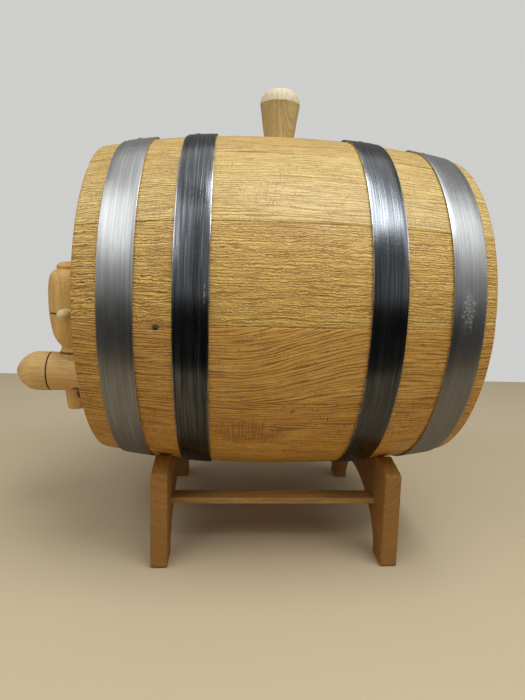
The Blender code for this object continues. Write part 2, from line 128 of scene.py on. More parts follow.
class Value:
    """A number that differs over a surface, with the usual arithmetic."""

    def __init__(self, shader, socket):
        self.shader = shader
        self.socket = socket

    def __add__(self, other):
        return self.shader.math("ADD", self, other)

    def __mul__(self, other):
        return self.shader.math("MULTIPLY", self, other)

    def __sub__(self, other):
        return self.shader.math("SUBTRACT", self, other)

    def __truediv__(self, other):
        return self * (1.0 / other)

    def __abs__(self):
        return self.shader.math("ABSOLUTE", self)

    __radd__ = __add__


class Shader:
    """A material's node tree, with short calls for the nodes that the finishes are made of."""

    def __init__(self, name):
        self.material = bpy.data.materials.new(name)
        self.material.use_nodes = True
        self.tree = self.material.node_tree
        self.surface = self.tree.nodes["Principled BSDF"]

    def node(self, kind, **settings):
        made = self.tree.nodes.new(kind)
        for key, value in settings.items():
            setattr(made, key, value)
        return made

    def feed(self, sockets, values):
        """Links each value to its socket, or sets the socket to it if it is a constant."""
        for socket, value in zip(sockets, values):
            source = value.socket if isinstance(value, Value) else value
            if isinstance(source, bpy.types.NodeSocket):
                self.tree.links.new(source, socket)
            else:
                socket.default_value = source

    def math(self, operation, *values):
        made = self.node("ShaderNodeMath", operation=operation)
        self.feed(made.inputs, values)
        return Value(self, made.outputs[0])

    def step(self, value, low, high, to_low=0.0, to_high=1.0):
        """A smooth rise from one value to another."""
        made = self.node("ShaderNodeMapRange", interpolation_type="SMOOTHSTEP")
        self.feed(made.inputs, (value, low, high, to_low, to_high))
        return Value(self, made.outputs[0])

    def split(self, vector):
        made = self.node("ShaderNodeSeparateXYZ")
        self.feed(made.inputs, [vector])
        return [Value(self, output) for output in made.outputs]

    def grain(self):
        """Metres along the grain and across it, as laid on the mesh."""
        made = self.node("ShaderNodeUVMap", uv_map="grain")
        return self.split(made.outputs[0])[:2]

    def place(self):
        """World coordinates of the piece at rest."""
        return self.split(self.node("ShaderNodeTexCoord").outputs["Object"])

    def noise(self, x, y, z, sizes, detail=2, roughness=0.6, seed=0.0):
        """Noise whose features have the given sizes in metres along each coordinate."""
        scaled = [value / size for value, size in zip((x, y, z), sizes)]
        vector = self.node("ShaderNodeCombineXYZ")
        self.feed(vector.inputs, (scaled[0] + seed, *scaled[1:]))
        made = self.node("ShaderNodeTexNoise")
        names = ("Vector", "Scale", "Detail", "Roughness")
        self.feed([made.inputs[name] for name in names], (vector.outputs[0], 1.0, detail, roughness))
        return Value(self, made.outputs["Fac"])

    def flat_noise(self, x, y, long, wide, seed, detail=2, roughness=0.6):
        """Noise over a surface, with features of a given length along x and width along y."""
        return self.noise(x, y, 0.0, (long, wide, 1), detail, roughness, seed)

    def mix(self, amount, a, b):
        made = self.node("ShaderNodeMix", data_type="RGBA")
        colours = [value if isinstance(value, bpy.types.NodeSocket) else (*value, 1) for value in (a, b)]
        self.feed((made.inputs[0], made.inputs[6], made.inputs[7]), (amount, *colours))
        return made.outputs[2]

    def over(self, colour, tint, mask, strength):
        """The colour with a tint laid over it where the mask is."""
        return self.mix(mask * strength, colour, tint)

    def ridge(self, value, centre, width):
        """One where a noise crosses a level, falling to nothing on both sides."""
        return self.step(abs(value - centre), width, 0.0)

    def distance(self, *parts):
        """Length of the vector with the given parts."""
        return self.math("SQRT", sum(part * part for part in parts))

    def spot(self, x, y, at, size, wander):
        """One inside a soft ragged ellipse."""
        far = self.distance((x - at[0]) / size[0], (y - at[1]) / size[1])
        return self.step(far + wander, 1.0, 0.45)

    def bump(self, height, depth):
        """Relief of a height field whose full range is the given depth in metres."""
        made = self.node("ShaderNodeBump")
        names = ("Strength", "Distance", "Height")
        self.feed([made.inputs[name] for name in names], (1.0, depth, height))
        self.feed([self.surface.inputs["Normal"]], [made.outputs[0]])

    def finish(self, colour, rough, **constants):
        inputs = self.surface.inputs
        self.feed((inputs["Base Color"], inputs["Roughness"]), (colour, rough))
        for name, value in constants.items():
            inputs[name.replace("_", " ")].default_value = value
        return self.material


def shade(colour, amount):
    """A colour made lighter or darker, by one factor or by one for each channel."""
    parts = amount if isinstance(amount, tuple) else (amount,) * 3
    return tuple(min(channel * part, 1.0) for channel, part in zip(colour, parts))


# Paler oak is also greyer and darker oak is also redder
PALER = (1.14, 1.18, 1.27)
DARKER = (0.47, 0.345, 0.17)
DEEPER = (0.34, 0.215, 0.095)

RING_SPACING = 0.0017
SAW_SPACING = 0.00145
STAVE_RELIEF = 0.00034
STEEL_RELIEF = 0.00005
TURN = 2 * math.pi


def stave_oak(
    name, seed, base, ripple=0.0, end_ripple=0.0, sweep=None, fleck=0.25, contrast=1.0, marks=(),
    bars=None,
):
    """Flat-sawn oak on the outside of a stave.

    ripple is the rough saw's relief, and end_ripple the same towards the front end. sweep (along, across,
    length, rise) bends the grain lines. marks are (along, across, half length, half width, colour,
    strength), and bars (along, across, half length, half width) is a patch of short bars across the grain.
    """
    s = Shader(name)
    u, v = s.grain()
    wander = s.flat_noise(u, v, 0.085, 0.020, seed, 2, 0.5) - 0.5
    fine_wander = s.flat_noise(u, v, 0.0040, 0.0030, seed + 3.1) - 0.5
    across = v + wander * 0.0060 + fine_wander * (0.0006 + 0.0014 * ripple)
    if sweep:
        start, level, length, rise = sweep
        far = s.step(u, start, start + length, 0.0, rise)
        spread = 1.0 + (v - level) * 14.0
        across = across - far * spread

    cloud = s.flat_noise(u, v, 0.060, 0.020, seed + 61.0, 3, 0.55)
    bands = s.flat_noise(u, across, 0.30, 0.0070, seed + 7.7, 3, 0.55)
    # Growth rings: thin dark lines close together, stronger in some places than in others
    drift = s.flat_noise(u, across, 0.060, 0.0050, seed + 12.3)
    phase = across / RING_SPACING + drift * 3.4
    wave = s.math("SINE", phase * TURN)
    lively = s.step(s.flat_noise(u, across, 0.024, 0.0026, seed + 17.3), 0.34, 0.60, 0.25, 1.0)
    lines = s.step(wave, 0.15, 0.90) * lively
    fibre = s.flat_noise(u, across, 0.014, 0.00085, seed + 21.0)
    pores = s.step(s.flat_noise(u, across, 0.0042, 0.00070, seed + 33.0), 0.60, 0.68)
    # Marks across the grain: the saw's teeth and the flecks of the rays
    ticks = s.flat_noise(u, v, 0.0011, 0.0060, seed + 41.0)
    tick_area = s.step(s.flat_noise(u, v, 0.030, 0.016, seed + 55.0, 1, 0.5), 0.45, 0.60)
    flecks = s.step(ticks, 0.54, 0.66) * tick_area
    fuzz = s.flat_noise(u, v, 0.0013, 0.00085, seed + 97.0, 2, 0.7)

    dark, deep, pale = shade(base, DARKER), shade(base, DEEPER), shade(base, PALER)
    colour = s.mix(s.step(bands, 0.32, 0.66), pale, base)
    colour = s.mix(s.step(cloud, 0.42, 0.68, 0.0, 0.55), colour, shade(base, (0.88, 0.78, 0.62)))
    colour = s.over(colour, dark, s.step(fibre, 0.46, 0.62), 0.55 * contrast)
    colour = s.mix(s.step(wave, -0.1, -0.95, 0.0, 0.40), colour, shade(pale, 1.14))
    colour = s.over(colour, dark, lines, 0.95 * contrast)
    colour = s.over(colour, deep, pores, 0.30 * contrast)
    colour = s.over(colour, dark, flecks, 1.5 * fleck)
    colour = s.over(colour, shade(pale, 1.12), s.step(fuzz, 0.44, 0.30), 0.38)
    colour = s.over(colour, dark, s.step(fuzz, 0.56, 0.70), 0.40)

    height = fibre * 0.6 + cloud * 0.3 - lines * 0.50 - pores * 0.5 + ticks * 0.60 + fuzz * 0.90
    if ripple or end_ripple:
        full = max(ripple, end_ripple)
        amount = s.step(u, -0.040, -0.066, ripple / full, 1.0)
        # Rough sawing: close wavy cuts across each other, like a weave
        shake = s.flat_noise(u, v, 0.0055, 0.0040, seed + 71.0, 2, 0.65)
        cut_phase = across / SAW_SPACING + shake * 2.4
        cut = s.math("SINE", cut_phase * TURN)
        weave = s.flat_noise(u, across, 0.0024, 0.0015, seed + 83.0)
        patch = s.step(s.flat_noise(u, v, 0.018, 0.0040, seed + 90.0), 0.34, 0.60, 0.45, 1.0)
        hollow = s.step(cut + weave * 1.8, 0.9, 1.8) * patch * amount
        colour = s.over(colour, deep, hollow, 0.85 * full)
        saw = (cut * patch * 0.26 + weave * 1.5) * full
        height = height - saw * amount
    if bars:
        at_u, at_v, half_u, half_v = bars
        place = s.spot(u, v, (at_u, at_v), (half_u, half_v), (ticks - 0.5) * 0.9)
        upright = s.step(s.flat_noise(u, v, 0.00095, 0.026, seed + 49.0, 1, 0.5), 0.40, 0.62)
        colour = s.over(colour, dark, place, 0.30)
        colour = s.over(colour, deep, place * upright, 0.55)
    rough = 0.34 + fibre * 0.16 + pores * 0.15 + cloud * 0.10
    for number, (at_u, at_v, long, wide, tint, strength) in enumerate(marks):
        ragged = (s.flat_noise(u, v, 0.004, 0.0012, number + seed) - 0.5) * 0.9
        mask = s.spot(u, v, (at_u, at_v), (long, wide), ragged)
        colour = s.over(colour, tint, mask, strength)
        rough = rough + mask * (0.3 * strength)
    s.bump(height, STAVE_RELIEF)
    return s.finish(colour, rough, Specular_IOR_Level=0.6, Coat_Weight=0.28, Coat_Roughness=0.30)


def solid_wood(
    name, axis, seed, base, dark, ring_size=0.0022, pith=(0.03, -0.05), rings=0.5, pores=0.4,
    rough=0.5, depth=0.00012, bands=(), stain=None, painted_lit_top=None,
):
    """Wood cut from a block: growth rings round a pith line that runs along one axis.

    bands are (axis, place, half width, strength) of burnt rings; stain is (place, size, colour, strength);
    painted_lit_top is (height, tint, strength): a paler top, a painted highlight for light falling from
    above.
    """
    s = Shader(name)
    place = s.place()
    order = {"X": (1, 2, 0), "Y": (2, 0, 1), "Z": (0, 1, 2)}[axis]
    p, q, along = (place[i] for i in order)
    bend = s.noise(p, q, along, (0.020, 0.020, 0.080), 2, 0.5, seed) - 0.5
    far = s.distance(p - pith[0], q - pith[1]) + bend * 0.006
    ring = s.flat_noise(far, along, ring_size, 0.12, seed + 5.0)
    band = s.flat_noise(far, along, ring_size * 3.5, 0.30, seed + 9.0, 2, 0.5)
    fibre = s.noise(p, q, along, (0.00050, 0.00050, 0.020), 3, 0.6, seed + 15.0)
    pore = s.step(s.noise(p, q, along, (0.00055, 0.00055, 0.0055), 2, 0.6, seed + 25.0), 0.58, 0.68)
    cloud = s.noise(p, q, along, (0.018, 0.018, 0.045), 3, 0.55, seed + 35.0)
    lines = s.ridge(ring, 0.5, 0.10)
    colour = s.mix(s.step(band, 0.32, 0.68), shade(base, PALER), base)
    colour = s.over(colour, shade(base, 0.80), s.step(cloud, 0.42, 0.70), 0.45)
    colour = s.over(colour, dark, s.step(fibre, 0.42, 0.68), 0.38)
    colour = s.over(colour, dark, lines, rings)
    colour = s.over(colour, shade(dark, 0.7), pore, pores)
    # Painted highlight: above the given height the wood is mixed toward a paler tint, standing for light
    # falling on the top; the dark streaks there are grain
    if painted_lit_top:
        height, tint, strength = painted_lit_top
        above = s.step(place[2], height - 0.0004, height + 0.0004, 0.0, strength)
        colour = s.mix(above, colour, tint)
        streak = s.step(s.flat_noise(p, q, 0.0011, 0.0011, seed + 45.0), 0.52, 0.66, 0.0, 0.5)
        colour = s.over(colour, dark, streak, above)
    for band_axis, at, width, strength in bands:
        distance = abs(place["XYZ".index(band_axis)] - at)
        ragged = (cloud - 0.5) * (0.8 * width)
        scorch = s.step(distance + ragged, width * 2.6, width * 0.7)
        colour = s.over(colour, (0.030, 0.013, 0.006), scorch, strength)
    if stain:
        at, size, tint, strength = stain
        reach = s.distance(*[(value - centre) / size for value, centre in zip(place, at)])
        colour = s.over(colour, tint, s.step(reach + (cloud - 0.5) * 1.1, 1.1, 0.55), strength)
    height = fibre * 0.5 - pore * 0.6 - lines * 0.3 + cloud * 0.4
    s.bump(height, depth)
    roughness = rough - 0.10 + fibre * 0.14 + cloud * 0.10 + pore * 0.1
    return s.finish(colour, roughness, Specular_IOR_Level=0.45)


def end_grain(name, seed, base):
    """The sawn ends of the staves: rings across, open pores, darker and drier than the faces."""
    s = Shader(name)
    u, v = s.grain()
    bend = s.flat_noise(u, v, 0.02, 0.02, seed, 2, 0.5) - 0.5
    ring = s.flat_noise(u + bend * 0.004, v, 0.0015, 0.030, seed + 4.0)
    pore = s.step(s.flat_noise(u, v, 0.0005, 0.0006, seed + 8.0), 0.55, 0.66)
    saw = s.flat_noise(u, v, 0.012, 0.0006, seed + 12.0)
    cloud = s.flat_noise(u, v, 0.010, 0.022, seed + 16.0, 3, 0.5)
    colour = s.mix(s.step(cloud, 0.35, 0.7), base, shade(base, 0.68))
    colour = s.over(colour, shade(base, 0.5), s.ridge(ring, 0.5, 0.12), 0.45)
    colour = s.over(colour, shade(base, 0.3), pore, 0.6)
    s.bump(saw * 0.7 + ring * 0.4 - pore * 0.8, 0.00020)
    rough = 0.55 + saw * 0.2 + pore * 0.1
    return s.finish(colour, rough, Specular_IOR_Level=0.35)


def toasted_oak(name):
    """The inside of the staves, browned over a fire."""
    s = Shader(name)
    u, v = s.grain()
    blister = s.flat_noise(u, v, 0.009, 0.006, 2.0, 4)
    char = s.flat_noise(u, v, 0.060, 0.030, 5.0, 3, 0.5)
    fibre = s.flat_noise(u, v, 0.020, 0.0006, 8.0, 3)
    colour = s.mix(s.step(char, 0.35, 0.7), (0.16, 0.085, 0.035), (0.045, 0.024, 0.012))
    colour = s.over(colour, (0.020, 0.012, 0.007), s.step(fibre, 0.45, 0.7), 0.5)
    s.bump(blister * 0.6 + fibre * 0.4, 0.00035)
    return s.finish(colour, 0.70 + blister * 0.2, Specular_IOR_Level=0.3)


def hoop_steel(name, seed, half, base, streak, light_streaks, roughness, wear=(), rust=0.0):
    """Rolled strip of a half width: scratches that run round the hoop, clean metal along its edges.

    wear are (across the strip, along it, half width, half length, strength) of rubbed places.
    """
    s = Shader(name)
    u, v = s.grain()
    drift = s.flat_noise(u, v, 0.02, 0.10, seed, 1, 0.5) - 0.5
    line_place = u + drift * 0.0012
    broad = s.flat_noise(line_place, v, 0.0016, 0.16, seed + 2.0, 3, 0.65)
    fine = s.flat_noise(line_place, v, 0.00066, 0.110, seed + 6.0, 1, 0.7)
    scratch = s.flat_noise(line_place, v, 0.00055, 0.045, seed + 9.0, 1, 0.5)
    smear = s.flat_noise(u, v, 0.012, 0.030, seed + 13.0, 4)
    speck = s.flat_noise(u, v, 0.0013, 0.0016, seed + 17.0, 3, 0.65)
    colour = s.mix(s.step(broad, 0.36, 0.64), shade(base, 1 - 0.6 * streak), shade(base, 1 + 0.3 * streak))
    colour = s.over(colour, shade(base, 1 - streak), s.step(fine, 0.42, 0.62), 0.60)
    colour = s.over(colour, shade(base, light_streaks), s.step(scratch, 0.56, 0.68), 0.65)
    colour = s.over(colour, shade(base, 0.76), s.step(smear, 0.50, 0.72), 0.30)
    rim = s.step(abs(u), half - 0.0008, half - 0.0002)
    worn = s.step(s.flat_noise(u, v, 0.004, 0.006, seed + 21.0), 0.36, 0.60, 0.25, 0.85)
    colour = s.over(colour, (0.66, 0.66, 0.65), rim, worn)
    if rust:
        spots = s.step(speck, 0.62, 0.74) * s.step(smear, 0.40, 0.62)
        colour = s.over(colour, (0.16, 0.075, 0.030), spots, rust)
    height = fine * 0.6 + broad * 0.5 - scratch * 0.25 + smear * 1.2
    rough = roughness - 0.08 + smear * 0.14 + fine * 0.10 + s.step(speck, 0.5, 0.7) * 0.06
    for number, (at_u, at_v, wide, long, strength) in enumerate(wear):
        ragged = (s.flat_noise(u, v, 0.002, 0.0035, seed + number, 3, 0.7) - 0.5) * 2.2
        mask = s.spot(u, v, (at_u, at_v), (wide, long), ragged) * s.step(speck, 0.40, 0.56)
        colour = s.over(colour, (0.80, 0.80, 0.78), mask, strength)
        rough = rough + mask * 0.10
    s.bump(height, STEEL_RELIEF)
    return s.finish(colour, rough, Metallic=1.0)


# ---- mesh building ----

SHARP_ANGLE = 35.0  # degrees between faces from which an edge is shown sharp or rounded off


class Shell:
    """Corners and faces of a piece; a face carries its grain coordinates and material slot."""

    def __init__(self):
        self.corners = []
        self.faces = []
        self.grain = []
        self.slots = []

    def corner(self, point):
        self.corners.append(point)
        return len(self.corners) - 1

    def face(self, indices, grain, slot=0):
        self.faces.append(indices)
        self.grain.append(grain)
        self.slots.append(slot)

    def mesh(self, name):
        mesh = bpy.data.meshes.new(name)
        mesh.from_pydata(self.corners, [], self.faces)
        layer = mesh.uv_layers.new(name="grain")
        flat = [value for grain in self.grain for pair in grain for value in pair]
        layer.data.foreach_set("uv", flat)
        mesh.polygons.foreach_set("material_index", self.slots)
        shape = bmesh.new()
        shape.from_mesh(mesh)
        bmesh.ops.recalc_face_normals(shape, faces=shape.faces)
        return written(shape, mesh)


def written(shape, mesh):
    """The mesh with the shape written into it."""
    shape.to_mesh(mesh)
    shape.free()
    return mesh


def add_object(name, data):
    made = bpy.data.objects.new(name, data)
    bpy.context.scene.collection.objects.link(made)
    return made


def add_piece(name, mesh, materials, node, body):
    """Adds a finished piece in place of a CAD node."""
    piece = add_object(name, mesh)
    last = len(materials) - 1
    finish_of_face = [min(polygon.material_index, last) for polygon in mesh.polygons]
    mesh.materials.clear()  # forgets the faces' finishes as well
    for material in materials:
        mesh.materials.append(material)
    mesh.polygons.foreach_set("material_index", finish_of_face)
    mesh.shade_smooth()
    mesh.set_sharp_from_angle(angle=math.radians(SHARP_ANGLE))
    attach(piece, body)
    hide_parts(node)


def modified(mesh, kind, **settings):
    """The mesh as it comes out of one modifier with the given settings."""
    holder = add_object("holder", mesh)
    modifier = holder.modifiers.new(kind.lower(), kind)
    for key, value in settings.items():
        setattr(modifier, key, value)
    graph = bpy.context.evaluated_depsgraph_get()
    graph.update()
    made = bpy.data.meshes.new_from_object(
        holder.evaluated_get(graph), preserve_all_data_layers=True, depsgraph=graph
    )
    bpy.data.objects.remove(holder)
    return made


def cut_with(mesh, tool):
    """The mesh with the tool's space taken out of it."""
    cutter = add_object("cutter", tool)
    made = modified(mesh, "BOOLEAN", operation="DIFFERENCE", solver="EXACT", object=cutter)
    bpy.data.objects.remove(cutter)
    return made


def rounded(mesh, width, segments=2, limit=SHARP_ANGLE):
    """The mesh with its sharp edges rounded off."""
    angle = math.radians(limit)
    return modified(
        mesh, "BEVEL", width=width, segments=segments, limit_method="ANGLE", angle_limit=angle
    )


def cone(low, high, low_radius, high_radius, sides=64):
    """A closed cone between two points."""
    low, high = Vector(low), Vector(high)
    shape = bmesh.new()
    turn = (high - low).to_track_quat("Z", "Y").to_matrix().to_4x4()
    bmesh.ops.create_cone(
        shape, cap_ends=True, segments=sides, radius1=low_radius, radius2=high_radius,
        depth=(high - low).length, matrix=Matrix.Translation((low + high) / 2) @ turn,
    )
    return written(shape, bpy.data.meshes.new("cone"))


def smooth_outline(points, parts):
    """Points on a Catmull-Rom curve through the given (radius, height) points."""
    made = []
    for i in range(len(points) - 1):
        before = points[max(i - 1, 0)]
        start, end = points[i], points[i + 1]
        after = points[min(i + 2, len(points) - 1)]
        for part in range(parts):
            t = part / parts
            weights = (
                t * t - (t + t ** 3) / 2,
                1 - 2.5 * t * t + 1.5 * t ** 3,
                2 * t * t + (t - 3 * t ** 3) / 2,
                (t ** 3 - t * t) / 2,
            )
            corners = zip(before, start, end, after)
            made.append([sum(w * value for w, value in zip(weights, values)) for values in corners])
    return [(max(radius, 0.0), height) for radius, height in made] + [points[-1]]


def turned(outline, sides, centre, axis="Z", wobble=0.0, seed=0.0):
    """A turned piece: the (radius, height) outline spun round an axis through the centre."""
    shape = Shell()
    rings = []
    for radius, height in outline:
        if radius < 1e-6:
            rings.append([shape.corner(turn_place(0.0, height, 0.0, centre, axis))])
            continue
        ring = []
        for side in range(sides):
            angle = 2 * math.pi * side / sides
            spot = Vector((math.cos(angle) * 2.0, math.sin(angle) * 2.0, height * 180 + seed))
            grown = radius + wobble * noise.noise(spot)
            ring.append(shape.corner(turn_place(grown, height, angle, centre, axis)))
        rings.append(ring)
    for (low, high), (start, end) in zip(zip(rings, rings[1:]), zip(outline, outline[1:])):
        pitch = 2 * math.pi * max(start[0], end[0]) / sides
        for side in range(sides):
            around = ((low, start, side), (low, start, side + 1), (high, end, side + 1), (high, end, side))
            # A corner on the axis comes up twice and is kept once
            face = {ring[k % len(ring)]: (point[1], pitch * k) for ring, point, k in around}
            if len(face) > 2:
                shape.face(list(face), list(face.values()))
    return shape.mesh("turned")


def turn_place(radius, height, angle, centre, axis):
    a, b = radius * math.cos(angle), radius * math.sin(angle)
    offset = {"X": (height, a, b), "Y": (b, height, a), "Z": (a, b, height)}[axis]
    return tuple(c + o for c, o in zip(centre, offset))


# ---- staves ----


def stave_stations():
    """Distances along the barrel where a stave's section is placed."""
    chive = HALF_LENGTH - CHIVE_LENGTH
    croze_out = CROZE_CENTRE + CROZE_WIDTH / 2
    croze_in = CROZE_CENTRE - CROZE_WIDTH / 2
    wall = 0.00002
    ends = [HALF_LENGTH - END_ROUNDING * part for part in (0, 0.12, 0.45, 1.0)]
    special = ends + [chive, croze_out + wall, croze_out, croze_in, croze_in - wall]
    count = round((HALF_LENGTH - 0.002) / STATION_STEP)
    regular = [(HALF_LENGTH - 0.002) * i / count for i in range(count + 1)]
    kept = [x for x in regular if min(abs(x - other) for other in special) > STATION_STEP / 4]
    half = sorted(set(special + kept))
    return [-x for x in reversed(half) if x > 0] + half


def stave_inside(along):
    reach = abs(along)
    chive = HALF_LENGTH - CHIVE_LENGTH
    if reach > chive:
        end = CHIME_RADIUS - CHIME_LIP
        return inner_radius(chive) + (end - inner_radius(chive)) * (reach - chive) / CHIVE_LENGTH
    if abs(reach - CROZE_CENTRE) <= CROZE_WIDTH / 2 + 1e-7:
        return inner_radius(CROZE_CENTRE) + CROZE_DEPTH
    return inner_radius(along)


def rounding(distance, radius):
    """How far a rounded edge falls away, at a distance in from it."""
    if distance >= radius:
        return 0.0
    return radius - math.sqrt(max(radius ** 2 - (radius - distance) ** 2, 0.0))


# A stave's finishes, in the order that add_staves lists them in
FACE, END, INSIDE = range(3)


def stave_mesh(start, arc, number, roughness):
    """One stave with eased edges and an uneven face; angles in degrees."""
    begin = math.radians(start) + STAVE_GAP / 2
    sweep = math.radians(arc) - STAVE_GAP
    middle = begin + sweep / 2
    width = sweep * BILGE_RADIUS
    eased = [EDGE_ROUNDING * part / BILGE_RADIUS for part in (0, 0.12, 0.45, 1.0)]
    count = round(width / ARC_STEP)
    inside = [eased[-1] + (sweep - 2 * eased[-1]) * i / count for i in range(1, count)]
    angles = eased + inside + [sweep - a for a in reversed(eased)]
    stations = stave_stations()
    lift = STAVE_LIFT * math.sin(number * 2.4)
    tilt = STAVE_TILT * math.cos(number * 1.7)
    shape = Shell()
    outer, inner = [], []
    for along in stations:
        base = outer_radius(along)
        drop = rounding(HALF_LENGTH - abs(along), END_ROUNDING)
        row_out, row_in = [], []
        for turn in angles:
            edge = rounding(min(turn, sweep - turn) * BILGE_RADIUS, EDGE_ROUNDING)
            face = Vector((along * 26, (begin + turn) * 9, number * 3.7))
            relief = FACE_WAVES * noise.noise(face) + lift + tilt * (2 * turn / sweep - 1)
            if roughness:
                saw = Vector((along * 210, (begin + turn) * 34, number * 5.1))
                relief += roughness * noise.noise(saw)
            radius = base - drop - edge + relief
            degrees = math.degrees(begin + turn)
            row_out.append(shape.corner(on_barrel(along, radius, degrees)))
            row_in.append(shape.corner(on_barrel(along, stave_inside(along), degrees)))
        outer.append(row_out)
        inner.append(row_in)

    def lay(along, turn, radius):
        return (along, (begin + turn - middle) * radius)

    last = len(angles) - 1
    for i in range(len(stations) - 1):
        a, b = stations[i], stations[i + 1]
        ra, rb = outer_radius(a), outer_radius(b)
        chime = abs(a + b) / 2 > CROZE_CENTRE
        for j in range(last):
            s, t = angles[j], angles[j + 1]
            grain = [lay(a, s, ra), lay(b, s, rb), lay(b, t, rb), lay(a, t, ra)]
            for rows, slot in ((outer, FACE), (inner, FACE if chime else INSIDE)):
                shape.face((rows[i][j], rows[i + 1][j], rows[i + 1][j + 1], rows[i][j + 1]), grain, slot)
        for j, side in ((0, -1), (last, 1)):
            near, far = side * 0.030, side * 0.042  # grain places beyond the stave's own face
            shape.face(
                (outer[i][j], inner[i][j], inner[i + 1][j], outer[i + 1][j]),
                [(a, near), (a, far), (b, far), (b, near)],
            )
    for i in (0, len(stations) - 1):
        for j in range(last):
            s, t = angles[j] * CHIME_RADIUS, angles[j + 1] * CHIME_RADIUS
            shape.face(
                (outer[i][j], outer[i][j + 1], inner[i][j + 1], inner[i][j]),
                [(0.008, s), (0.008, t), (0.0, t), (0.0, s)],
                END,
            )
    return shape.mesh("stave")


OAK_GOLD = (0.86, 0.542, 0.122)
OAK_CREAM = (0.89, 0.612, 0.190)
OAK_STRAW = (0.83, 0.552, 0.165)
OAK_HONEY = (0.75, 0.415, 0.080)
OAK_AMBER = (0.72, 0.385, 0.062)
BROWN = (0.22, 0.105, 0.025)
NEAR_BLACK = (0.020, 0.010, 0.004)
BLEACHED = (0.80, 0.68, 0.48)

# Finish of each stave, in the order of STAVE_ARCS. On the near side they run from straw and cream at the
# top through gold and honey to amber low down:
# partly the staves' own tones, partly painted shade that darkens the barrel towards its underside.
STAVE_LOOKS = [
    dict(base=OAK_CREAM, fleck=0.3),
    dict(base=OAK_GOLD, fleck=0.4),
    dict(base=OAK_HONEY, ripple=0.5),
    dict(base=OAK_GOLD, sweep=(-0.04, 0.0, 0.10, 0.010)),
    dict(base=OAK_CREAM, ripple=0.8),
    dict(base=OAK_HONEY, fleck=0.5),
    dict(base=OAK_AMBER, ripple=0.3),
    dict(base=OAK_HONEY, sweep=(-0.08, 0.0, 0.12, 0.012)),
    dict(base=OAK_AMBER, fleck=0.3),
    dict(
        base=OAK_AMBER, fleck=0.6, end_ripple=0.4,
        marks=[(0.005, 0.006, 0.012, 0.0013, BROWN, 0.7), (-0.072, 0.004, 0.010, 0.002, BROWN, 0.3)],
        bars=(-0.020, 0.001, 0.030, 0.014),
    ),
    dict(
        base=OAK_HONEY, sweep=(-0.035, 0.0, 0.085, 0.014), end_ripple=0.6,
        marks=[
            (-0.0700, 0.0200, 0.0027, 0.0020, NEAR_BLACK, 1.0), (-0.0700, 0.0203, 0.008, 0.0009, BROWN, 0.5)
        ],
    ),
    dict(base=OAK_GOLD, ripple=0.72, end_ripple=1.0, contrast=0.9),
    dict(
        base=OAK_CREAM, ripple=0.25, end_ripple=0.8, fleck=0.35, contrast=0.8,
        marks=[
            (-0.093, 0.012, 0.003, 0.0012, BLEACHED, 0.6), (-0.098, 0.017, 0.003, 0.0010, BLEACHED, 0.5)
        ],
    ),
    dict(base=OAK_STRAW, fleck=0.3),
]


def add_staves():
    # The bung hole's wall: dark brown, partly toasted oak and partly painted shade inside the hole
    hole_wall_toast_and_shade = solid_wood(
        "toasted_and_shaded_hole", "X", 51.0, (0.17, 0.085, 0.032), (0.045, 0.022, 0.010), rough=0.75
    )
    ends = end_grain("stave_ends", 4.0, (0.50, 0.290, 0.085))
    inside = toasted_oak("toasted_inside")
    start = BUNG_ANGLE - STAVE_ARCS[0] / 2
    for number, (arc, look) in enumerate(zip(STAVE_ARCS, STAVE_LOOKS), 1):
        node = f"stave_{number:02d}" if number > 1 else "stave_01_bung"
        mesh = stave_mesh(start, arc, number, SAW_DEPTH * look.get("ripple", 0.0))
        finishes = [stave_oak(f"oak_{number:02d}", number * 17.3, **look), ends, inside]
        if number == 1:
            finishes.append(hole_wall_toast_and_shade)
            mesh = with_bung_hole(mesh, finishes.index(hole_wall_toast_and_shade))
        add_piece(f"{node}_oak", mesh, finishes, node, "barrel")
        start += arc


# ---- bung ----

BUNG_TOP = BUNG_BOX[1].z
BUNG_BOTTOM = BUNG_BOX[0].z
BUNG_SHOULDER = BUNG_TOP - 0.0103
BUNG_CAP_RADIUS = 0.0139
BUNG_SHOULDER_RADIUS = 0.0137
BUNG_TAPER = 0.150
BUNG_CLEARANCE = 0.00025
BUNG_CHAMFER = 0.0012
# (radius, drop) down from the top
BUNG_DOME = [
    (0, 0), (0.0045, 0.0002), (0.0082, 0.0010), (0.0107, 0.0022), (0.0122, 0.0040), (0.0133, 0.0066),
    (0.0138, 0.0090),
]
# Painted highlight: the tint of the bung's top above its shoulder, standing for light falling on it from
# above
BUNG_TOP_PAINTED_LIGHT = (0.92, 0.84, 0.60)


def bung_radius(height):
    return BUNG_SHOULDER_RADIUS - BUNG_TAPER * (BUNG_SHOULDER - height)


def with_bung_hole(mesh, finish):
    """The mesh with the bung's hole cut through it and the hole's wall in a finish of its own: dark brown,
    partly toasted oak and partly painted shade that makes the hole look deep.
    """
    low, high = BUNG_BOTTOM - 0.002, AXIS_HEIGHT + BILGE_RADIUS + 0.006
    radii = [bung_radius(height) + BUNG_CLEARANCE for height in (low, high)]
    mesh = cut_with(mesh, cone((MIDDLE_X, 0, low), (MIDDLE_X, 0, high), *radii))
    for polygon in mesh.polygons:
        away = math.hypot(polygon.center.x - MIDDLE_X, polygon.center.y)
        if away < BUNG_SHOULDER_RADIUS and abs(polygon.normal.z) < 0.5:
            polygon.material_index = finish
    return mesh


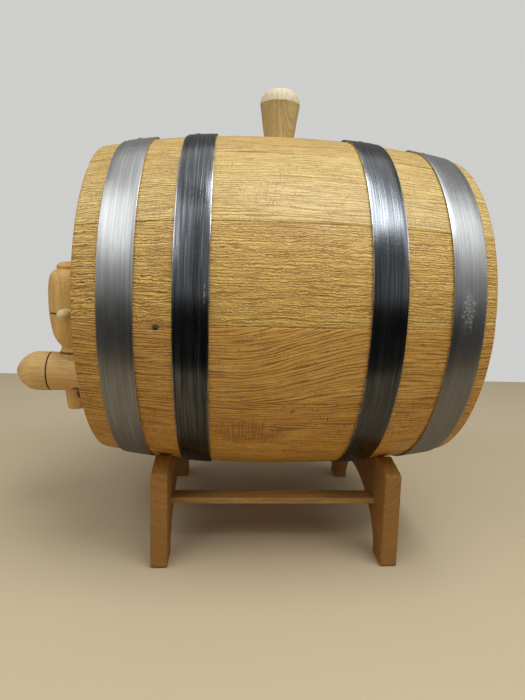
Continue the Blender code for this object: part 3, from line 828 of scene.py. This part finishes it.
def add_bung():
    outline = smooth_outline([(radius, BUNG_TOP - drop) for radius, drop in BUNG_DOME], 3)
    outline += [
        (BUNG_CAP_RADIUS - 0.0001, BUNG_SHOULDER + 0.0008), (BUNG_CAP_RADIUS, BUNG_SHOULDER + 0.0004),
        (BUNG_SHOULDER_RADIUS, BUNG_SHOULDER),
    ]
    steps = 10
    drop = BUNG_SHOULDER - (BUNG_BOTTOM + BUNG_CHAMFER)
    heights = [BUNG_SHOULDER - drop * step / steps for step in range(1, steps + 1)]
    outline += [(bung_radius(height), height) for height in heights]
    outline += [(bung_radius(BUNG_BOTTOM) - BUNG_CHAMFER, BUNG_BOTTOM), (0, BUNG_BOTTOM)]
    mesh = turned(outline, 64, (MIDDLE_X, 0, 0), "Z", 0.00012, 3.0)
    wood = solid_wood(
        "bung_beech", "Z", 3.0, (0.70, 0.530, 0.250), (0.40, 0.25, 0.08), ring_size=0.0016,
        pith=(0.10, -0.06), rings=0.45, pores=0.3, rough=0.55, painted_lit_top=(BUNG_SHOULDER, BUNG_TOP_PAINTED_LIGHT, 0.85),
    )
    add_piece("bung_beech", mesh, [wood], "bung", "bung")


# ---- heads ----


def add_heads():
    for end, seed in (("front", 11.0), ("rear", 47.0)):
        for number in range(1, 5):
            node = f"{end}_head_board_{number}"
            tone = 1.0 + 0.07 * math.sin(number * 2.1 + seed)
            wood = solid_wood(
                f"{node}_oak", "Z", seed + number * 7, shade((0.62, 0.385, 0.115), tone),
                shade((0.34, 0.170, 0.040), tone), ring_size=0.0030,
                pith=(0.08 * math.sin(seed + number), 0.05 * math.cos(number * 1.3)), depth=0.00022,
            )
            mesh = rounded(bpy.data.objects[node].data.copy(), 0.00045)
            add_piece(f"{node}_eased", mesh, [wood], node, "barrel")
    dowel = solid_wood(
        "dowel_beech", "Y", 29.0, (0.68, 0.50, 0.28), (0.40, 0.25, 0.10), ring_size=0.0012, rough=0.6
    )
    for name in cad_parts:
        if "_head_dowel_" in name:
            give_material(name, dowel)


def give_material(node, material):
    """Puts a detailed finish on a CAD node's own slots."""
    for slot in bpy.data.objects[node].material_slots:
        slot.material = material


# ---- hoops ----


def strip_section():
    """The strip's section: (across, depth) with across from -1 to 1 and depth from 0 to 1."""
    corner = 0.32  # of the thickness
    edge = 0.035  # the same rounding as a part of the half width
    points = []
    for x_side, y_side, turn in ((-1, 0, 180), (1, 0, 270), (1, 1, 0), (-1, 1, 90)):
        if points and y_side == 0:
            points += [(x, 0) for x in (-0.6, -0.2, 0.2, 0.6)]
        if x_side == -1 and y_side == 1:
            points += [(x, 1) for x in (0.6, 0.2, -0.2, -0.6)]
        for part in (0, 45, 90):
            angle = math.radians(turn + part)
            across = x_side * (1 - edge) + edge * math.cos(angle)
            points.append((across, y_side + corner * (math.sin(angle) + 1 - 2 * y_side)))
    return points


def hoop_mesh(front, rear, seed):
    """A strip bent round the barrel and lapped on itself at the top."""
    section = strip_section()
    count = round((LAP_END - LAP_START) / HOOP_STEP)
    lift = HOOP_THICKNESS + LAP_GAP
    middle, half = (front + rear) / 2, (rear - front) / 2
    shape = Shell()
    rows, marks = [], []
    for step in range(count + 1):
        degrees = LAP_START + (LAP_END - LAP_START) * step / count
        part = min(max((degrees - LAP_RAMP[0]) / (LAP_RAMP[1] - LAP_RAMP[0]), 0), 1)
        rise = lift * part * part * (3 - 2 * part)
        row = []
        for across, depth in section:
            waver = Vector((across * 0.7, degrees * 0.09, seed))
            shift = HOOP_WAVER * noise.noise(waver + Vector((40, 0, 0)))
            along = middle + half * across + shift
            flat = outer_radius(front) + (outer_radius(rear) - outer_radius(front)) * (across + 1) / 2
            crown = HOOP_CROWN * (1 - across * across)
            dent = HOOP_DENTS * noise.noise(waver * 3.0)
            radius = flat + HOOP_CLEARANCE + rise + depth * HOOP_THICKNESS + crown + dent
            row.append(shape.corner(on_barrel(along, radius, degrees)))
        rows.append(row)
        marks.append(math.radians(degrees) * BILGE_RADIUS)
    size = len(section)
    place = [across * half for across, _ in section]
    for (here, there), (v_here, v_there) in zip(zip(rows, rows[1:]), zip(marks, marks[1:])):
        for i in range(size):
            j = (i + 1) % size
            shape.face(
                (here[i], here[j], there[j], there[i]),
                [(place[i], v_here), (place[j], v_here), (place[j], v_there), (place[i], v_there)],
            )
    for row, v in ((rows[0], marks[0]), (rows[-1], marks[-1])):
        shape.face(tuple(row), [(p, v) for p in place])
    return shape.mesh("hoop")


def near_side(degrees):
    """Where an angle of the near side lies along a hoop's strip."""
    return math.radians(degrees + 360 if degrees < LAP_START else degrees) * BILGE_RADIUS


def add_hoops():
    light = (0.57, 0.575, 0.57)
    dark = (0.185, 0.195, 0.210)
    looks = {
        "front_end": dict(
            base=light, streak=0.28, light_streaks=1.25, roughness=0.31, rust=0.2,
            wear=[(0.001, near_side(58), 0.0040, 0.0008, 0.9)],
        ),
        "front_bilge": dict(
            base=dark, streak=0.72, light_streaks=2.3, roughness=0.20, rust=0.1,
            wear=[(0.0072, near_side(5), 0.0008, 0.006, 0.8)],
        ),
        "rear_bilge": dict(base=dark, streak=0.50, light_streaks=1.9, roughness=0.20, rust=0.1),
        "rear_end": dict(
            base=shade(light, 0.84), streak=0.26, light_streaks=1.22, roughness=0.33, rust=0.2,
            wear=[(-0.001, near_side(3), 0.0045, 0.014, 0.95)],
        ),
    }
    rivet = rivet_steel()
    for number, (end, look) in enumerate(looks.items()):
        node = f"{end}_hoop"
        low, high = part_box(node)
        front, rear = low.x - MIDDLE_X, high.x - MIDDLE_X
        steel = hoop_steel(f"{end}_strip", 5.0 + number * 13.0, (rear - front) / 2, **look)
        mesh = hoop_mesh(front, rear, number * 9.0)
        add_piece(f"{node}_strip", mesh, [steel], node, "barrel")
        slope = math.atan2(outer_radius(rear) - outer_radius(front), rear - front)
        for which, degrees in enumerate(RIVET_ANGLES):
            inward = -math.copysign(RIVET_SHIFT, front + rear)
            along = (front + rear) / 2 + (-inward if which else inward)
            mesh = rivet_mesh(along, degrees, slope, number * 2 + which)
            rivet_node = f"{node}_rivet_{which + 1}"
            add_piece(f"{rivet_node}_head", mesh, [rivet], rivet_node, "barrel")


def rivet_steel():
    s = Shader("rivet_heads")
    x, y, z = s.place()
    hammer = s.noise(x, y, z, (0.0012, 0.0012, 0.0012), 3, 0.6, 3.0)
    grime = s.noise(x, y, z, (0.0030, 0.0030, 0.0030), 3, 0.6, 9.0)
    colour = s.mix(s.step(grime, 0.38, 0.66), (0.36, 0.36, 0.35), (0.12, 0.11, 0.10))
    s.bump(hammer, 0.00020)
    return s.finish(colour, 0.30 + grime * 0.3, Metallic=1.0)


def rivet_mesh(along, degrees, slope, seed):
    """A hammered dome and the shank under it."""
    radius, height, shank = 0.0026, 0.0017, 0.0014
    dome = []
    for step in range(9):
        a = math.radians(90 * step / 8)
        dome.append((radius * math.sin(a), height * math.cos(a)))
    outline = dome + [(shank, 0), (shank, -0.0021), (0, -0.0021)]
    mesh = turned(outline, 24, (0, 0, 0), "Z", 0.00022, seed * 4.0)
    outside = outer_radius(along) + HOOP_CLEARANCE + 2 * (HOOP_THICKNESS + LAP_GAP)
    stand = Matrix.Translation(MIDDLE) @ Matrix.Rotation(math.radians(degrees - 90), 4, "X")
    stand = stand @ Matrix.Translation((along, 0, outside)) @ Matrix.Rotation(-slope, 4, "Y")
    mesh.transform(stand)
    return mesh


# ---- tap ----

NOSE_LENGTH = 0.0160
PLUG_TOP = TAP_AXIS + 0.0138
PLUG_TOP_RADIUS = 0.0104
PLUG_TAPER = 0.1
# The key's handle as (radius, height above the tap's axis), listed downwards
KEY_ABOVE_RING = [
    (0, 0.0803), (0.0052, 0.0801), (0.0088, 0.0791), (0.0107, 0.0775), (0.0111, 0.0761),
    (0.0106, 0.0749), (0.0130, 0.0735), (0.0155, 0.0700), (0.0168, 0.0640), (0.0171, 0.0560),
    (0.0170, 0.0445),
]
KEY_BELOW_RING = [
    (0.01688, 0.0430), (0.0160, 0.0360), (0.0147, 0.0290), (0.0133, 0.0252), (0.0111, 0.0218),
    (0.0092, 0.0188), (0.0104, 0.0152),
]
PEG_RADIUS, PEG_TIP = 0.0041, 0.006
SCORCHED = 0.92
WINE = (0.035, 0.008, 0.014)


def groove(radius, height, half, depth):
    """A thin burnt groove in a turned surface, listed downwards."""
    return [(radius, height + half), (radius - depth, height), (radius, height - half)]


def add_tap():
    shoulder = MIDDLE_X - 0.1170
    nose, shank_end = TAP_BOX[0].x, TAP_BOX[1].x
    outline = [
        (0, shank_end), (0.0080, shank_end), (0.0088, shank_end - 0.0008), (0.0110, shoulder),
        (TAP_RADIUS - 0.0012, shoulder), (TAP_RADIUS - 0.0004, shoulder - 0.0003),
        (TAP_RADIUS, shoulder - 0.0012), (TAP_RADIUS, shoulder - 0.012),
        (TAP_RADIUS - 0.00005, TAP_RING + 0.004), *groove(TAP_RADIUS, TAP_RING, 0.0005, 0.0006),
        (TAP_RADIUS, nose + NOSE_LENGTH),
    ]
    steps = 22
    for step in range(1, steps + 1):
        s = 1 - step / steps
        outline.append((TAP_RADIUS * (s * (2 - s)) ** 0.8, nose + NOSE_LENGTH * s))
    mesh = turned(outline, 72, (0, 0, TAP_AXIS), "X", 0.00006, 8.0)
    low, high = TAP_AXIS - TAP_RADIUS - 0.004, TAP_AXIS + TAP_RADIUS + 0.004
    hole = cone((KEY_X, 0, low), (KEY_X, 0, high), plug_radius(low) + 0.0003, plug_radius(high) + 0.0003)
    mesh = cut_with(mesh, hole)
    bore = cone((KEY_X, 0, TAP_AXIS), (shank_end + 0.005, 0, TAP_AXIS), 0.0035, 0.0035, 24)
    mesh = cut_with(mesh, bore)
    wood = solid_wood(
        "tap_body_wood", "X", 61.0, (0.88, 0.580, 0.215), (0.50, 0.255, 0.062), ring_size=0.0026,
        pith=(0.012, TAP_AXIS + 0.03), rings=0.28, pores=0.22, rough=0.45,
        bands=[("X", TAP_RING, 0.00032, SCORCHED)],
        stain=((KEY_X + 0.004, -0.006, TAP_AXIS - TAP_RADIUS + 0.001), 0.0060, WINE, 0.9),
    )
    add_piece("tap_body_wood", mesh, [wood], "tap_body", "barrel")


def plug_radius(height):
    return PLUG_TOP_RADIUS - PLUG_TAPER * (PLUG_TOP - height)


def add_key():
    base, bottom = TAP_AXIS, KEY_BOX[0].z
    upper, lower = (
        smooth_outline([(radius, base + height) for radius, height in points], 4)
        for points in (KEY_ABOVE_RING, KEY_BELOW_RING)
    )
    outline = upper + groove(0.0169, KEY_RING, 0.0005, 0.0006) + lower + [
        (PLUG_TOP_RADIUS, PLUG_TOP), (plug_radius(base - 0.010), base - 0.010),
        (plug_radius(bottom + 0.0006), bottom + 0.0006), (plug_radius(bottom) - 0.0006, bottom),
        (0, bottom),
    ]
    mesh = turned(outline, 72, (KEY_X, 0, 0), "Z", 0.00008, 15.0)
    mesh = cut_with(mesh, cone((KEY_X, 0, bottom - 0.004), (KEY_X, 0, base + 0.0035), 0.0032, 0.0032, 24))
    wood = solid_wood(
        "tap_key_wood", "Z", 75.0, (0.82, 0.510, 0.165), (0.46, 0.220, 0.050), ring_size=0.0028,
        pith=(KEY_X + 0.03, 0.012), rings=0.28, pores=0.22, rough=0.45,
        bands=[("Z", KEY_RING, 0.00032, SCORCHED), ("Z", TAP_AXIS + 0.0148, 0.0005, 0.85)],
        stain=((KEY_X + 0.006, -0.006, TAP_AXIS - TAP_RADIUS - 0.001), 0.0050, WINE, 0.9),
    )
    add_piece("tap_key_wood", mesh, [wood], "tap_key", "tap_key")


def add_peg():
    low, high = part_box("tap_key_peg")
    straight = (high.y - low.y) / 2 - PEG_TIP
    arc = [math.radians(90 * step / 10) for step in range(11)]
    end = [(PEG_RADIUS * math.sin(a), straight + PEG_TIP * math.cos(a)) for a in arc]
    outline = end + [(r, -h) for r, h in reversed(end)]
    mesh = turned(outline, 40, (KEY_X, 0, PEG_HEIGHT), "Y", 0.00006, 22.0)
    wood = solid_wood(
        "peg_beech", "Y", 83.0, (0.97, 0.800, 0.44), (0.60, 0.38, 0.14), ring_size=0.0014,
        pith=(0.02, 0.16), rings=0.3, pores=0.3,
    )
    add_piece("tap_key_peg_beech", mesh, [wood], "tap_key_peg", "tap_key")


# ---- stand ----

FOOT_HALF_WIDTH = 0.080
SHOULDER_HALF_WIDTH = 0.078
SHOULDER_HEIGHT = 0.061
CRADLE_HALF_WIDTH = 0.056
ARCH_HALF_WIDTH = 0.062
ARCH_HEIGHT = 0.0375
BOARD_INNER_FACE = 0.068


def board_outline():
    """Half of an end board's outline in (y, z), from the cradle's middle to the arch's middle."""
    cradle = outer_radius(BOARD_INNER_FACE) + 0.0003
    reach = math.asin(CRADLE_HALF_WIDTH / cradle)
    points = []
    for step in range(31):
        angle = reach * step / 30
        points.append((cradle * math.sin(angle), AXIS_HEIGHT - cradle * math.cos(angle)))
    points += [(SHOULDER_HALF_WIDTH, SHOULDER_HEIGHT), (FOOT_HALF_WIDTH, 0)]
    for step in range(25):
        angle = math.radians(90) * step / 24
        points.append((ARCH_HALF_WIDTH * math.cos(angle), ARCH_HEIGHT * math.sin(angle)))
    return points


def eased_corners(outline, radius, limit=20.0):
    """The closed outline with each sharp corner replaced by a small arc."""
    made = []
    size = len(outline)
    for i, point in enumerate(outline):
        here = Vector(point)
        before = Vector(outline[i - 1]) - here
        after = Vector(outline[(i + 1) % size]) - here
        turn = math.degrees(math.pi - before.angle(after))
        if turn < limit:
            made.append(point)
            continue
        cut = min(radius, before.length * 0.4, after.length * 0.4)
        start, end = here + before.normalized() * cut, here + after.normalized() * cut
        for part in (0.0, 0.25, 0.5, 0.75, 1.0):
            made.append(tuple(start * (1 - part) ** 2 + here * 2 * part * (1 - part) + end * part ** 2))
    return made


def board_mesh(low_x, high_x):
    half = board_outline()
    outline = half + [(-y, z) for y, z in reversed(half[1:-1])]
    outline = eased_corners(outline, 0.0022)
    shape = bmesh.new()
    face = shape.faces.new([shape.verts.new((low_x, y, z)) for y, z in outline])
    made = bmesh.ops.extrude_face_region(shape, geom=[face])
    moved = [item for item in made["geom"] if isinstance(item, bmesh.types.BMVert)]
    bmesh.ops.translate(shape, verts=moved, vec=(high_x - low_x, 0, 0))
    bmesh.ops.recalc_face_normals(shape, faces=shape.faces)
    return rounded(written(shape, bpy.data.meshes.new("board")), 0.0013, 3, 60.0)


def add_stand():
    base, dark = (0.42, 0.200, 0.042), (0.18, 0.070, 0.015)
    for number, end in enumerate(("front", "rear")):
        node = f"{end}_cradle_board"
        low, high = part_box(node)
        wood = solid_wood(
            f"{node}_oak", "Y", 91.0 + 20 * number, base, dark, ring_size=0.0026,
            pith=(0.09, -0.02 + 0.1 * number), rings=0.26, depth=0.00022,
        )
        add_piece(f"{node}_oak", board_mesh(low.x, high.x), [wood], node, "stand")
    for number, side in enumerate(("near", "far")):
        node = f"{side}_stretcher"
        low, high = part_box(node)
        shape = bmesh.new()
        size, middle = high - low, (low + high) / 2
        bmesh.ops.create_cube(
            shape, size=1, matrix=Matrix.Translation(middle) @ Matrix.Diagonal((*size, 1))
        )
        mesh = written(shape, bpy.data.meshes.new(node))
        wood = solid_wood(
            f"{node}_oak", "X", 131.0 + 9 * number, (0.62, 0.370, 0.115), (0.24, 0.105, 0.028),
            ring_size=0.0014, pith=(-0.03, 0.09), pores=0.5, depth=0.00018,
        )
        add_piece(f"{node}_oak", rounded(mesh, 0.0008, 3), [wood], node, "stand")


# ---- camera, lights and floor ----

CAMERA_PLACE = Vector((-0.03094, -0.36467, 0.02174))  # from the barrel's middle
CAMERA_YAW, CAMERA_TILT, CAMERA_ROLL = 0.06542, 0.15260, -0.03081
SENSOR, LENS = 36.0, 25.15  # millimetres

# Name, azimuth (0 is in front of the near side and 90 at +X), elevation, distance, width, height, radiance
# and colour of each soft box
SOFT_BOXES = [
    ("front_left_box", -50, 47, 1.25, 1.15, 0.75, 1.75, (0.97, 0.985, 1.0)),
    ("front_right_box", 33, 66, 1.25, 0.55, 0.85, 5.3, (0.95, 0.98, 1.0)),
    ("right_box", 64, 41, 1.25, 0.60, 0.70, 1.7, (0.97, 0.985, 1.0)),
    ("low_left_box", -62, 17, 1.3, 1.1, 0.40, 0.30, (1, 1, 1)),
    ("low_right_box", 52, 17, 1.3, 1.1, 0.40, 0.20, (1, 1, 1)),
    ("overhead_box", 180, 80, 1.3, 1.3, 0.9, 0.62, (1, 1, 1)),
]

AMBIENT = (0.16, 0.158, 0.152, 1)
BACKDROP = (0.62, 0.62, 0.605, 1)
GREY_CARD_GLOW = 0.30

FLOOR_CORNERS = (-1.4, -1.0, 0), (1.4, 0.5, 0)
# Opposite corners of the cards that only the gloss of the steel and the wood can see
CARDS = [
    # Painted shadow: a dark brown sheet over the floor under and around the barrel, seen by the gloss in
    # place of the floor's shade
    ("floor_shadow_card", (-1.5, -0.25, 0.001), (1.5, 0.2, 0.001)),
    ("black_cloth", (-1.5, -0.90, 0.002), (1.5, -0.25, 0.002)),
    ("black_fence", (-1.5, -0.90, 0.0), (1.5, -0.90, 0.24)),
    ("grey_card_behind_camera", (-0.26, -0.62, 0.24), (0.10, -0.62, 1.3)),
]


def add_camera():
    """A wide lens close to the near side, a little above the barrel's axis and tipped down."""
    data = bpy.data.cameras.new("camera")
    data.sensor_width = SENSOR
    data.lens = LENS
    camera = add_object("camera", data)
    turn = Matrix.Rotation(-CAMERA_YAW, 4, "Z") @ Matrix.Rotation(math.pi / 2 - CAMERA_TILT, 4, "X")
    turn = turn @ Matrix.Rotation(-CAMERA_ROLL, 4, "Z")
    camera.matrix_world = Matrix.Translation(MIDDLE + CAMERA_PLACE) @ turn
    bpy.context.scene.camera = camera


def add_light(name, azimuth, elevation, distance, width, height, radiance, colour):
    """A soft box aimed at the barrel."""
    data = bpy.data.lights.new(name, "AREA")
    data.shape = "RECTANGLE"
    data.size, data.size_y = width, height
    data.energy = radiance * math.pi * width * height
    data.color = colour
    light = add_object(name, data)
    a, e = math.radians(azimuth), math.radians(elevation)
    away = Vector((math.sin(a) * math.cos(e), -math.cos(a) * math.cos(e), math.sin(e)))
    light.location = MIDDLE + away * distance
    light.rotation_mode = "QUATERNION"
    light.rotation_quaternion = away.to_track_quat("Z", "Y")


def add_card(name, low, high, material):
    """A plain level or upright rectangle given by two opposite corners."""
    mesh = bpy.data.meshes.new(name)
    corners = [low, (high[0], low[1], low[2]), high, (low[0], high[1], high[2])]
    mesh.from_pydata(corners, [], [(0, 1, 2, 3)])
    mesh.materials.append(material)
    card = add_object(name, mesh)
    return card


def flat_shader(name, colour, roughness=0.9):
    s = Shader(name)
    cloud = s.noise(*s.place(), (0.25, 0.25, 0.25), 2, 0.5, 1.0)
    shaded = s.mix(cloud, shade(colour, 0.97), shade(colour, 1.03))
    return s.finish(shaded, roughness, Specular_IOR_Level=0.3)


def add_studio():
    add_card("floor", *FLOOR_CORNERS, flat_shader("floor_paint", (0.70, 0.575, 0.385), 0.55))
    black = flat_shader("black_cloth", (0.010, 0.009, 0.008))
    # Painted shadow: the shaded floor as the gloss sees it
    floor_shadow = flat_shader("floor_shadow_card", (0.27, 0.220, 0.145))
    grey = flat_shader("grey_card", (0.10, 0.10, 0.10))
    surface = grey.node_tree.nodes["Principled BSDF"]
    surface.inputs["Emission Color"].default_value = (1, 1, 1, 1)
    surface.inputs["Emission Strength"].default_value = GREY_CARD_GLOW
    for (name, low, high), material in zip(CARDS, (floor_shadow, black, black, grey)):
        card = add_card(name, low, high, material)
        card.visible_camera = False
        card.visible_diffuse = False
        card.visible_shadow = False
        card.visible_transmission = False
    for box in SOFT_BOXES:
        add_light(*box)

    world = bpy.data.worlds.new("studio")
    bpy.context.scene.world = world
    world.use_nodes = True
    tree = world.node_tree
    background = tree.nodes["Background"]
    background.inputs["Color"].default_value = AMBIENT
    seen = tree.nodes.new("ShaderNodeBackground")
    seen.inputs["Color"].default_value = BACKDROP
    path = tree.nodes.new("ShaderNodeLightPath")
    either = tree.nodes.new("ShaderNodeMixShader")
    tree.links.new(path.outputs["Is Camera Ray"], either.inputs[0])
    tree.links.new(background.outputs[0], either.inputs[1])
    tree.links.new(seen.outputs[0], either.inputs[2])
    tree.links.new(either.outputs[0], tree.nodes["World Output"].inputs["Surface"])
    bpy.context.scene.view_settings.view_transform = "Standard"


add_camera()
add_studio()
add_staves()
add_heads()
add_hoops()
add_bung()
add_tap()
add_key()
add_peg()
add_stand()
